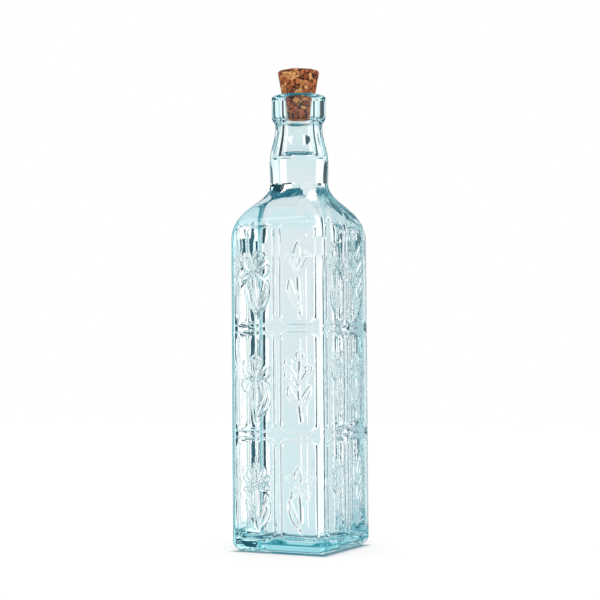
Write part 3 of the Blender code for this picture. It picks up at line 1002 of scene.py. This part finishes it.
def makeFloor():
    bm = bmesh.new()
    bmesh.ops.create_grid(bm, x_segments=1, y_segments=1, size=room["floorSize"])
    mesh = bpy.data.meshes.new("floor")
    bm.to_mesh(mesh)
    bm.free()
    floor = bpy.data.objects.new("floor", mesh)
    bpy.context.scene.collection.objects.link(floor)
    material = newMaterial("white_table")
    tree = material.node_tree
    place = addNode(tree, "TexCoord").outputs["Object"]
    place = addNode(tree, "SeparateXYZ", None, {"Vector": place})
    sides = {}
    for index, axis in enumerate(("X", "Y")):
        sides[index] = addNode(tree, "Math", {"operation": "ABSOLUTE"}, {0: place.outputs[axis]})
    widest = addNode(tree, "Math", {"operation": "MAXIMUM"}, sides)
    inner, outer = room["footprint"]
    limits = {"From Min": inner, "From Max": outer}
    clear = addNode(tree, "MapRange", limits, {"Value": widest})
    # under the bottle the glow and the paint turn to a painted teal shadow, in place of the weak light
    # that comes down through the glass
    paintedShade = (*room["paintedShadeUnderGlass"], 1)
    light, paint = [
        addNode(tree, "MixRGB", {"Color1": paintedShade, "Color2": (v, v, v, 1)}, {"Fac": clear})
        for v in (room["floorGlow"], room["floorWhite"])
    ]
    glow = addNode(tree, "Emission", None, {"Color": light})
    matt = addNode(tree, "BsdfDiffuse", None, {"Color": paint})
    both = addNode(tree, "AddShader", None, {0: glow, 1: matt})
    # the glass shows the studio's sheets in place of the table, except right under itself
    path = addNode(tree, "LightPath")
    rays = {0: path.outputs["Is Transmission Ray"], 1: path.outputs["Is Glossy Ray"]}
    through = addNode(tree, "Math", {"operation": "MAXIMUM"}, rays)
    links = {0: through, 1: clear}
    past = addNode(tree, "Math", {"operation": "MULTIPLY"}, links)
    empty = addNode(tree, "BsdfTransparent")
    seen = addNode(tree, "MixShader", None, {0: past, 1: both, 2: empty})
    addNode(tree, "OutputMaterial", None, {"Surface": seen})
    floor.data.materials.append(material)


def makeWorld():
    world = bpy.data.worlds.new("studio")
    bpy.context.scene.world = world
    world.use_nodes = True
    tree = world.node_tree
    tree.nodes.clear()
    way = addNode(tree, "TexCoord").outputs["Generated"]
    way = addNode(tree, "SeparateXYZ", None, {"Vector": way})
    turned = {"operation": "MULTIPLY", 1: -1.0}
    behind = addNode(tree, "Math", turned, {0: way.outputs["Y"]})
    links = {0: way.outputs["X"], 1: behind}
    turn = addNode(tree, "Math", {"operation": "ARCTAN2"}, links)
    circle = {"From Min": -math.pi, "From Max": math.pi}
    share = addNode(tree, "MapRange", circle, {"Value": turn})
    rise = addNode(tree, "Math", {"operation": "ARCSINE"}, {0: way.outputs["Z"]})

    sheets = None
    for limits, plain, others in room["bands"]:
        band = hangSheets(tree, share, plain, room[others] if others else ())
        if sheets is None:
            sheets = band
            continue
        low, high = [math.radians(limit) for limit in limits]
        above = {"From Min": low, "From Max": high}
        start = addNode(tree, "MapRange", above, {"Value": rise})
        links = {"Fac": start, "Color1": sheets, "Color2": band}
        sheets = addNode(tree, "MixRGB", None, links)
    dim = (room["dim"],) * 3
    boxes = hangSheets(tree, share, dim, [(a, b, (v, v, v)) for a, b, v in room["boxes"]])
    lowest, highest = [math.radians(end) for end in room["boxEnds"]]
    footFade, headFade = room["boxFades"]
    for low, high, outer, inner in (
        (lowest - footFade, lowest, "Color1", "Color2"),
        (highest, highest + headFade, "Color2", "Color1"),
    ):
        limits = {"From Min": low, "From Max": high}
        end = addNode(tree, "MapRange", limits, {"Value": rise})
        links = {"Fac": end, inner: boxes}
        boxes = addNode(tree, "MixRGB", {outer: (*dim, 1)}, links)
    # a ray bent through glass counts as glossy too
    path = addNode(tree, "LightPath")
    less = {"operation": "SUBTRACT", "use_clamp": True}
    rays = {0: path.outputs["Is Glossy Ray"], 1: path.outputs["Is Transmission Ray"]}
    shine = addNode(tree, "Math", less, rays)
    links = {"Fac": shine, "Color1": sheets, "Color2": boxes}
    lit = addNode(tree, "MixRGB", None, links)
    # the camera sees white, and matt surfaces are lit by it all round, also through the glass
    more = {"operation": "ADD", "use_clamp": True}
    rays = {0: path.outputs["Is Camera Ray"], 1: path.outputs["Diffuse Depth"]}
    seen = addNode(tree, "Math", more, rays)
    white = {"Color2": (1, 1, 1, 1)}
    level = addNode(tree, "MixRGB", white, {"Fac": seen, "Color1": lit})
    back = addNode(tree, "Background", {"Strength": 1.0}, {"Color": level})
    addNode(tree, "OutputWorld", None, {"Surface": back})


# The photo's camera, in degrees and metres; the lens and its sensor are in millimetres.
view = {
    "azimuth": 27.306,
    "distance": 1.00664,
    "height": 0.12873,
    "pitchUp": 2.032,
    "roll": -0.411,
    "lens": 90.725,
    "sensor": 36,
    "clip": (0.01, 20),
}


def makeCamera():
    a, p, r = (math.radians(view[k]) for k in ("azimuth", "pitchUp", "roll"))
    look = Vector((-math.sin(a) * math.cos(p), math.cos(a) * math.cos(p), math.sin(p)))
    right = look.cross(Vector((0, 0, 1))).normalized()
    up = right.cross(look)
    rolledRight = right * math.cos(r) + up * math.sin(r)
    rolledUp = up * math.cos(r) - right * math.sin(r)
    data = bpy.data.cameras.new("camera")
    data.sensor_width = view["sensor"]
    data.lens = view["lens"]
    data.clip_start, data.clip_end = view["clip"]
    camera = bpy.data.objects.new("camera", data)
    turned = Matrix((rolledRight, rolledUp, -look)).transposed().to_4x4()
    out = view["distance"]
    turned.translation = Vector((out * math.sin(a), -out * math.cos(a), view["height"]))
    camera.matrix_world = turned
    bpy.context.scene.collection.objects.link(camera)
    bpy.context.scene.camera = camera


makeCamera()
makeFloor()
makeWorld()
print("room and camera ready")

glass = makeGlass()
glass.data.materials.append(glassMaterial())
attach(glass, "bottle")
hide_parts("glass_bottle")
print("glass ready")

oil = makeOil()
oil.data.materials.append(oilMaterial("clear_oil_surface", True))
oil.data.materials.append(oilMaterial("clear_oil_side", False))
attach(oil, "bottle")
print("oil ready")

cork = makeCork()
cork.data.materials.append(corkMaterial())
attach(cork, "stopper")
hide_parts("cork")
print("cork ready")

scene = bpy.context.scene
scene.view_settings.view_transform = "Standard"
scene.cycles.max_bounces = 28
scene.cycles.transmission_bounces = 28
scene.cycles.glossy_bounces = 12
scene.cycles.diffuse_bounces = 4
scene.cycles.transparent_max_bounces = 24
scene.cycles.use_denoising = True
